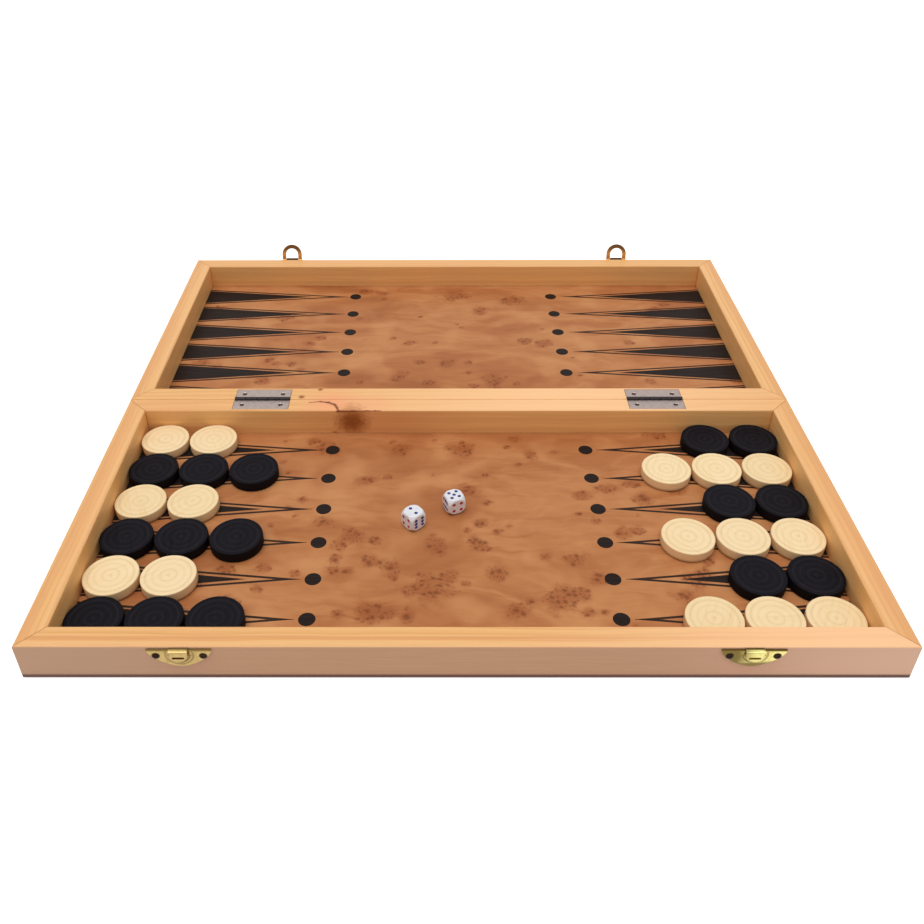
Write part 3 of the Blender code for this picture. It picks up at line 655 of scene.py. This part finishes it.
def points(name, body, side, first, pitch, dots, dark, line):
    """Twelve points: a filled spear from the wall, a fine outline round it, and a dot."""
    fills, lines = bmesh.new(), bmesh.new()
    low, high = PLAY_FACE - 0.2, PLAY_FACE + INLAY
    edge = WELL_HALF - SEAM
    for k in range(6):
        y = side * (first + pitch * k)
        for hand, dot_x in zip((-1, 1), dots):
            wall = hand * edge
            spear = [(wall, y - SPEAR_HALF), (hand * SPEAR_TIP, y), (wall, y + SPEAR_HALF)]
            add_prism(fills, spear, low, high)
            dot = []
            for i in range(48):
                angle = 2 * math.pi * i / 48
                dot.append((dot_x + DOT_RADIUS * math.cos(angle), y + DOT_RADIUS * math.sin(angle)))
            add_prism(fills, dot, low, high)
            for way in (-1, 1):
                stroke = [
                    (wall, y + way * LINE_HALF),
                    (hand * LINE_TIP, y + way * 0.05),
                    (hand * LINE_TIP, y - way * 0.2),
                    (hand * LINE_INNER_TIP, y + way * 0.05),
                    (wall, y + way * LINE_INNER_HALF),
                ]
                add_prism(lines, stroke, low, high - 0.01)
    piece(name + "_spears", in_metres(to_mesh(fills, name)), dark, body, slot="burl_veneer")
    piece(name + "_outlines", in_metres(to_mesh(lines, name)), line, body, slot="burl_veneer")


# ---------------------------------------------------------------- loose pieces

CHECKER_SECTION = [
    (0, 6.84), (0.35, 6.83), (0.6, 6.76), (0.95, 6.73), (1.3, 6.77), (1.7, 6.80),
    (4.45, 6.82), (4.8, 6.79), (5.0, 6.78), (5.25, 6.79), (5.6, 6.82),
    (9.0, 6.82), (9.35, 6.79), (9.6, 6.78), (9.85, 6.79), (10.2, 6.82),
    (12.8, 6.82), (13.2, 6.78), (13.5, 6.78), (13.8, 6.84), (14.1, 6.96), (14.4, 7.05),
    (14.8, 7.10), (15.7, 7.10), (16.05, 7.04), (16.31, 6.88), (16.46, 6.62), (16.5, 6.3),
    (16.5, 0.8), (16.46, 0.48), (16.31, 0.22), (16.05, 0.06), (15.7, 0), (0, 0),
]


def checkers(finishes):
    bm = bmesh.new()
    add_turned(bm, CHECKER_SECTION, 112)
    mesh = in_metres(to_mesh(bm, "turned_checker", 60))
    chance = random.Random(4)
    for node in sorted(nodes):
        if "_checker_" not in node:
            continue
        low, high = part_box(node)
        middle = (low + high) / 2 / MM
        colour = node.split("_")[0]
        slot = {"light": "pale_maple", "dark": "black_stained_maple"}[colour]
        turn = (0, 0, chance.uniform(0, 2 * math.pi))
        at = (middle.x, middle.y, low.z / MM)
        piece(node + "_turned", mesh, finishes[colour], node, [node], slot, at, turn)


def pip_spots(value):
    """Places of the pips on a face, in millimetres. The two lies along an edge of its face."""
    if value == 2:
        return [(0, -2.8), (0, 2.8)]
    spots = {(0, 0)} if value % 2 else set()
    if value > 1:
        spots |= {(-1, 1), (1, -1)}
    if value > 3:
        spots |= {(1, 1), (-1, -1)}
    if value == 6:
        spots |= {(-1, 0), (1, 0)}
    return [(a * 2.55, b * 2.55) for a, b in sorted(spots)]


DIE_HALF = 6.0
DIE_EDGE_ROUND = 1.1
DIE_CORNER_REACH = 8.25  # centre of a die to its corners
PIP_CENTRE = 6.95  # centre of a die to the centre of a pip's ball
PIP_BALL = 1.5


def die(name, node, values, turn, finishes):
    """A die with a ball's corners and dished pips, red on the one and the four, else blue."""
    bm = bmesh.new()
    bmesh.ops.create_cube(bm, size=2 * DIE_HALF)
    flat = DIE_HALF - DIE_EDGE_ROUND
    bmesh.ops.subdivide_edges(bm, edges=bm.edges[:], cuts=23, use_grid_fill=True)
    for vert in bm.verts:
        core = Vector([max(-flat, min(flat, value)) for value in vert.co])
        if (vert.co - core).length > 0:
            vert.co = core + (vert.co - core).normalized() * DIE_EDGE_ROUND
        if vert.co.length > DIE_CORNER_REACH:
            vert.co *= DIE_CORNER_REACH / vert.co.length
    body = to_mesh(bm, name, 60)
    body.materials.append(finishes["white"])
    drills = bmesh.new()
    for normal, value in values.items():
        face = Vector((0, 0, 1)).rotation_difference(Vector(normal)).to_matrix().to_4x4()
        paint = 1 if value in (1, 4) else 2
        for a, b in pip_spots(value):
            spot = face @ Matrix.Translation((a, b, PIP_CENTRE))
            before = set(drills.faces)
            bmesh.ops.create_uvsphere(
                drills, u_segments=24, v_segments=16, radius=PIP_BALL, matrix=spot
            )
            for made in set(drills.faces) - before:
                made.material_index = paint
    tool = to_mesh(drills, "drills", 60)
    for colour in ("white", "red", "blue"):
        tool.materials.append(finishes[colour])
    mesh = cut(body, tool)
    low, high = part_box(node)
    middle = (low + high) / 2 / MM
    slot = "white_dice_plastic"
    piece(name, in_metres(mesh), None, node, [node], slot, tuple(middle), (0, 0, math.radians(turn)))


# ---------------------------------------------------------------- metalwork


def add_screw(bm, x, y, top, radius, dome):
    """A domed screw head along Z."""
    section = [(0, top), (radius * 0.45, top - dome * 0.12), (radius * 0.75, top - dome * 0.4)]
    section += [(radius * 0.95, top - dome * 0.8), (radius, top - dome), (radius, top - dome - 0.4)]
    section += [(0, top - dome - 0.4)]
    add_turned(bm, section, 28, Matrix.Translation((x, y, 0)))


def cross_tool(x, y, top, depth, reach, width):
    """The driver's cross as one solid of twelve corners."""
    quarter = [(reach, -width), (reach, width), (width, width)]
    outline = []
    for i in range(4):
        turn = Matrix.Rotation(math.pi / 2 * i, 2)
        outline += [tuple(turn @ Vector(corner) + Vector((x, y))) for corner in quarter]
    bm = bmesh.new()
    add_prism(bm, outline, top - depth, top + 1)
    return to_mesh(bm, "cross")


def screw_heads(spots, top, radius, dome):
    """Screw heads with a driver's cross, seen along Z."""
    joined = bmesh.new()
    for x, y in spots:
        bm = bmesh.new()
        add_screw(bm, x, y, top, radius, dome)
        head = to_mesh(bm, "head", 50)
        joined.from_mesh(cut(head, cross_tool(x, y, top, 0.5, radius * 0.62, radius * 0.15)))
    return in_metres(to_mesh(joined, "screw_heads", 35))


def crescent(width, drop, steps=64, power=1.6):
    """Lower half of a superellipse, from corner to corner."""
    out = []
    for i in range(steps + 1):
        angle = math.pi * i / steps
        x, y = math.cos(angle), math.sin(angle)
        across = math.copysign(abs(x) ** (2 / power), x)
        out.append((-width / 2 * across, -drop * max(0, y) ** (2 / power)))
    return out


def bevelled_prism(bm, outline, low, high, width):
    face = add_prism(bm, outline, low, high)
    bmesh.ops.bevel(bm, geom=face.edges[:], offset=width, segments=2, profile=0.5, affect="EDGES")


HOOD_HALF = 5.1
HOOD_TOP = 0.9  # above the plate's straight edge
HOOD_STRAIGHT = 2.4  # down to where the round end starts
HOOD_END = 4.7
HOOD_SIDE = 2.2  # height of the sides, up to the rounded edge
HOOD_EDGE_ROUND = 1.2


def catch_plate():
    """Crescent plate with a pressed hood and a slot under it."""
    bm = bmesh.new()
    rows = []
    for t in range(9):
        angle = math.radians(90 * t / 8)
        inset = HOOD_EDGE_ROUND * (1 - math.cos(angle))
        rows.append((inset, HOOD_SIDE + HOOD_EDGE_ROUND * math.sin(angle)))
    rows.insert(0, (0, 0.05))
    rings = []
    for inset, height in rows:
        half, top = HOOD_HALF - inset, HOOD_TOP - inset * 0.9
        ring = [(half, top), (-half, top)]
        for i in range(25):
            angle = math.pi * i / 24
            down = (HOOD_END - inset) * math.sin(angle)
            ring.append((-half * math.cos(angle), -HOOD_STRAIGHT - down))
        rings.append([bm.verts.new((x, y, height)) for x, y in ring])
    for low, high in zip(rings, rings[1:]):
        for i in range(len(low)):
            j = (i + 1) % len(low)
            bm.faces.new((low[i], low[j], high[j], high[i]))
    bm.faces.new(rings[-1])
    bm.faces.new(reversed(rings[0]))
    hood = to_mesh(bm, "hood", 40)
    slot = bmesh.new()
    add_box(slot, (-3.2, -4.2, 1.2), (3.2, -2.7, 6))
    edges = [edge for edge in slot.edges if abs(edge.verts[0].co.z - edge.verts[1].co.z) > 1]
    bmesh.ops.bevel(slot, geom=edges, offset=0.45, segments=3, profile=0.5, affect="EDGES")
    bm = bmesh.new()
    bevelled_prism(bm, crescent(PLATE_WIDTH, PLATE_DROP), 0, 1.0, 0.2)
    bm.from_mesh(cut(hood, to_mesh(slot, "slot")))
    return to_mesh(bm, "catch_plate", 40)


def rib_round_hood():
    """The low rolled rib that runs round the hood's lower edge, as a swept round bar."""
    curve = bpy.data.curves.new("rib", "CURVE")
    curve.dimensions = "3D"
    curve.bevel_depth = 0.55
    curve.bevel_resolution = 3
    curve.use_fill_caps = True
    spline = curve.splines.new("POLY")
    spline.points.add(32)
    for i, point in enumerate(spline.points):
        angle = math.pi * (0.02 + 0.96 * i / 32)
        point.co = (-6.3 * math.cos(angle), -3.4 - 6.2 * math.sin(angle), 0.72, 1)
    guide = bpy.data.objects.new("rib", curve)
    bpy.context.scene.collection.objects.link(guide)
    graph = bpy.context.evaluated_depsgraph_get()
    graph.update()
    mesh = bpy.data.meshes.new_from_object(guide.evaluated_get(graph))
    bpy.data.objects.remove(guide)
    mesh.shade_smooth()
    return in_metres(mesh)


def loop_plate():
    """Plain crescent whose middle is cut back beside the loop's feet."""
    bm = bmesh.new()
    bevelled_prism(bm, crescent(PLATE_WIDTH, PLATE_DROP), 0, 1.0, 0.2)
    mesh = to_mesh(bm, "loop_plate", 40)
    notches = bmesh.new()
    for side in (-1, 1):
        inner, outer = sorted((side * 4.85, side * 9.45))
        add_box(notches, (inner, PIN_DROP - 1.4 - 0.3, -1), (outer, 1, 2))
    return cut(mesh, to_mesh(notches, "notches"))


def loop_curl():
    """The plate's middle, curled round the loop's pin."""
    bm = bmesh.new()
    add_tube(bm, (-5.15, PIN_DROP, 2.0), (5.15, PIN_DROP, 2.0), 1.9, 0.9)
    return to_mesh(bm, "loop_curl", 40)


def arc(centre, radius, start, end, steps):
    out = []
    for i in range(steps + 1):
        angle = math.radians(start + (end - start) * i / steps)
        out.append((centre[0] + radius * math.cos(angle), centre[1] + radius * math.sin(angle)))
    return out


def clasp_loop():
    """The swinging arch, stamped from strip, with a curled foot at each side, leaning outward."""
    outline = [(9.0, 1.15)] + arc((0, 5.5), 9.0, 0, 180, 40) + [(-9.0, 1.15), (-5.6, 1.15)]
    outline += arc((0, 5.5), 5.6, 180, 0, 36) + [(5.6, 1.15)]
    bm = bmesh.new()
    add_prism(bm, outline, -0.6, 0.6)
    rim = [edge for edge in bm.edges if abs(edge.verts[0].co.z - edge.verts[1].co.z) < 0.1]
    bmesh.ops.bevel(bm, geom=rim, offset=0.3, segments=3, profile=0.5, affect="EDGES")
    for side in (-1, 1):
        start, end = sorted((side * 5.45, side * 9.15))
        add_tube(bm, (start, 0, 0), (end, 0, 0), 1.4, 0.9)
    bm.transform(Matrix.Rotation(math.radians(75), 4, "X"))
    return to_mesh(bm, "clasp_loop", 40)


def clasps(finishes):
    brass, screw = finishes["brass"], finishes["screw"]
    catch, base, arch = in_metres(catch_plate()), in_metres(loop_plate()), in_metres(clasp_loop())
    rib, curl = rib_round_hood(), in_metres(loop_curl())
    heads = screw_heads([(-12.6, -4.3), (12.6, -4.3)], 1.85, 2.2, 0.8)
    upright = math.pi / 2
    for side, word in ((-1, "left"), (1, "right")):
        x = side * CLASP_X
        near = ((x, -OUTER - SEAM, PLATE_TOP), (upright, 0, 0))
        far = ((x, OUTER + SEAM, PLATE_TOP), (upright, 0, math.pi))
        node = f"catch_plate_{word}"
        plate = finishes["brass_" + word]
        piece(f"{node}_pressed", catch, plate, "near_tray", [node], "brass", *near)
        piece(f"{node}_rib", rib, plate, "near_tray", (), "brass", *near)
        piece(f"{node}_screws", heads, screw, "near_tray", (), "dark_steel", *near)
        node = f"loop_plate_{word}"
        piece(f"{node}_pressed", base, brass, "far_tray", [node], "brass", *far)
        piece(f"{node}_curl", curl, finishes["shaded_curl_brass"], "far_tray", (), "brass", *far)
        piece(f"{node}_screws", heads, screw, "far_tray", (), "dark_steel", *far)
        node = f"clasp_loop_{word}"
        piece(f"{node}_stamped", arch, finishes["bronze"], node, [node], "brass", (x, OUTER + 2.3, 23.5))
    dress(["clasp_pin_left", "clasp_pin_right"], brass)


def hinge_leaf():
    """A leaf on the +Y side of its pin, seen from above, with two sunk holes."""
    bm = bmesh.new()
    corners = [(-20, 1.5), (20, 1.5), (20, 12.3), (-20, 12.3)]
    bevelled_prism(bm, corners, -1.35, -0.15, 0.12)
    mesh = to_mesh(bm, "leaf", 20)
    holes = bmesh.new()
    for x in (-14, 14):
        sink = [(0, -0.62), (1.2, -0.62), (2.0, -0.1), (2.0, 1), (0, 1)]
        add_turned(holes, sink, 32, Matrix.Translation((x, SCREW_Y, 0)))
    return in_metres(cut(mesh, to_mesh(holes, "holes", 60), 20))


def knuckles(own):
    """A leaf's own knuckles, each rolled round the pin and running out into the leaf."""
    pitch = 40.3 / 5
    bm = bmesh.new()
    for number in own:
        start = number * pitch - 20
        add_box(bm, (start, 0.8, -1.35), (start + pitch - 0.3, 1.9, -0.2))
        add_tube(bm, (start, 0, 0), (start + pitch - 0.3, 0, 0), 1.6, 1.1)
    return in_metres(to_mesh(bm, "knuckles", 30))


def hinges(finishes):
    leaf, even, odd = hinge_leaf(), knuckles((0, 2, 4)), knuckles((1, 3))
    heads = screw_heads([(-14, SCREW_Y), (14, SCREW_Y)], -0.2, 1.75, 0.28)
    for side, word in ((-1, "left"), (1, "right")):
        at = (side * HINGE_X, 0, FOLD_HEIGHT)
        for tray, rolled, turn in (("near", even, math.pi), ("far", odd, 0)):
            node = f"{tray}_hinge_leaf_{word}"
            body = f"{tray}_tray"
            pose = (at, (0, 0, turn))
            piece(f"{node}_flat", leaf, finishes["steel"], body, [node], "plated_steel", *pose)
            piece(f"{node}_knuckles", rolled, finishes["shaded_hinge_steel"], body, (), "plated_steel", *pose)
            piece(f"{node}_screws", heads, finishes["screw"], body, (), "dark_steel", *pose)
    dress(["hinge_pin_left", "hinge_pin_right"], finishes["shaded_hinge_steel"])


# ---------------------------------------------------------------- stage


def floor():
    """A white ground that keeps the object's shadow and is plain white to the camera elsewhere."""
    bm = bmesh.new()
    bmesh.ops.create_grid(bm, x_segments=1, y_segments=1, size=6)
    ground = bpy.data.objects.new("ground", to_mesh(bm, "ground"))
    bpy.context.scene.collection.objects.link(ground)
    ground.location = (0, 0, -0.0004)
    s = Shader("white_ground", Roughness=0.9, Specular_IOR_Level=0.1)
    cloud = s.noise(s.node("TexCoord", {}, "Object"), 3.0, 2)
    s.set(Base_Color=s.mix(s.step(cloud, 0.3, 0.7), srgb(222, 222, 222), srgb(226, 226, 226)))
    s.set(Emission_Color=(1, 1, 1, 1))
    path = s.tree.nodes.new("ShaderNodeLightPath").outputs
    seen = s.math("ADD", path["Is Camera Ray"], path["Is Glossy Ray"], clamp=True)
    seen = s.math("ADD", seen, path["Is Transmission Ray"], clamp=True)
    s.set(Emission_Strength=s.math("MULTIPLY", seen, 0.62))
    ground.data.materials.append(s.material)


def world():
    made = bpy.data.worlds.new("studio")
    bpy.context.scene.world = made
    made.use_nodes = True
    tree = made.node_tree
    back = tree.nodes["Background"]
    back.inputs["Color"].default_value = (1, 1, 1, 1)
    path = tree.nodes.new("ShaderNodeLightPath").outputs
    total = path["Is Camera Ray"]
    for name in ("Is Glossy Ray", "Is Transmission Ray"):
        add = tree.nodes.new("ShaderNodeMath")
        add.operation = "ADD"
        add.use_clamp = True
        tree.links.new(total, add.inputs[0])
        tree.links.new(path[name], add.inputs[1])
        total = add.outputs[0]
    strength = tree.nodes.new("ShaderNodeMapRange")
    strength.inputs["To Min"].default_value = AMBIENT
    strength.inputs["To Max"].default_value = 1.0
    tree.links.new(total, strength.inputs["Value"])
    tree.links.new(strength.outputs[0], back.inputs["Strength"])


def lights():
    lamp = bpy.data.lights.new("overhead", "SUN")
    lamp.energy = SUN * math.pi
    lamp.angle = math.radians(50)
    sun = bpy.data.objects.new("overhead", lamp)
    bpy.context.scene.collection.objects.link(sun)
    sun.rotation_euler = (math.radians(6), math.radians(-5), 0)


def camera():
    """The photograph's view. Its frame is 924 by 924 pixels."""
    data = bpy.data.cameras.new("camera")
    data.sensor_width = 36
    data.lens = 35.8992
    data.shift_x = 0.0286162
    data.shift_y = -0.0712642
    data.clip_start = 0.01
    data.clip_end = 50
    made = bpy.data.objects.new("camera", data)
    bpy.context.scene.collection.objects.link(made)
    made.location = (-0.014357, -0.553573, 0.408924)
    made.rotation_euler = (math.radians(55.44017), math.radians(0.14675), math.radians(0.14440))
    bpy.context.scene.camera = made


# ---------------------------------------------------------------- everything

metals = {
    "brass": metal("brass", (188, 158, 98), (150, 122, 68), 0.32),
    # The catch plates are lit and shaded copies of one brass: the right one is painted brighter as a painted
    # highlight, and takes painted shade to one side.
    "brass_left": metal("brass_left", (184, 157, 102), (150, 124, 74), 0.32, plate=((108, 86, 46), False)),
    "brass_right": metal("brass_right", (222, 210, 136), (186, 168, 92), 0.28, plate=((92, 72, 30), True)),
    "bronze": metal("bronze", (202, 146, 82), (160, 108, 56), 0.36, crown=(98, 62, 32)),
    # Brass painted nearly black: painted shade on the loop plates' curls.
    "shaded_curl_brass": metal("curl_brass_painted_dark", (66, 48, 30), (40, 28, 18), 0.5),
    "steel": metal("plated_steel", (174, 159, 153), (152, 138, 133), 0.46),
    # Dark steel painted darker still: the shade in the band between the hinge leaves is painted into the
    # knuckles and pins.
    "shaded_hinge_steel": metal("hinge_steel_painted_shade", (58, 52, 52), (36, 32, 32), 0.5),
    "screw": metal("dark_screw", (58, 42, 30), (30, 20, 14), 0.42),
}
rails()
dress(["near_floor_panel", "far_floor_panel"], pine("panel_plywood", 71))
veneer("near_burl", "near_tray", -1, NEAR_GATHERS, 1)
veneer("far_burl", "far_tray", 1, FAR_GATHERS, 2)
ink = stained_inlay("black_inlay", (28, 21, 19), (42, 33, 29))
fine = stained_inlay("brown_line", (42, 29, 24), (60, 44, 35))
points("near_points", "near_tray", -1, 35.2, 31.45, (-89.9, 89.9), ink, fine)
points("far_points", "far_tray", 1, 33.75, 31.8, (-90.4, 87.9), ink, fine)
maple = turned_wood(
    "pale_maple", (243, 218, 173), (237, 208, 158), (208, 174, 120), (228, 188, 138), (150, 98, 56), 0.42, 0.3
)
black = turned_wood(
    "black_stained_maple", (21, 19, 24), (15, 14, 18), (44, 42, 48), (20, 15, 14), (14, 10, 9), 0.56, 0.05
)
checkers({"light": maple, "dark": black})
plastics = {
    "white": moulded("white_plastic", (222, 221, 226), 0.22, (212, 211, 218)),
    "red": moulded("red_pip_paint", (180, 30, 40), 0.4, (146, 20, 28)),
    "blue": moulded("blue_pip_paint", (30, 36, 120), 0.4, (18, 20, 78)),
}
LEFT_FACES = {(0, 0, 1): 2, (0, 0, -1): 5, (-1, 0, 0): 4, (1, 0, 0): 3, (0, -1, 0): 6, (0, 1, 0): 1}
RIGHT_FACES = {(0, 0, 1): 5, (0, 0, -1): 2, (-1, 0, 0): 6, (1, 0, 0): 1, (0, -1, 0): 4, (0, 1, 0): 3}
die("die_left_moulded", "die_left", LEFT_FACES, 40, plastics)
die("die_right_moulded", "die_right", RIGHT_FACES, 23, plastics)
clasps(metals)
hinges(metals)
floor()
world()
lights()
camera()
bpy.context.scene.view_settings.view_transform = "Standard"
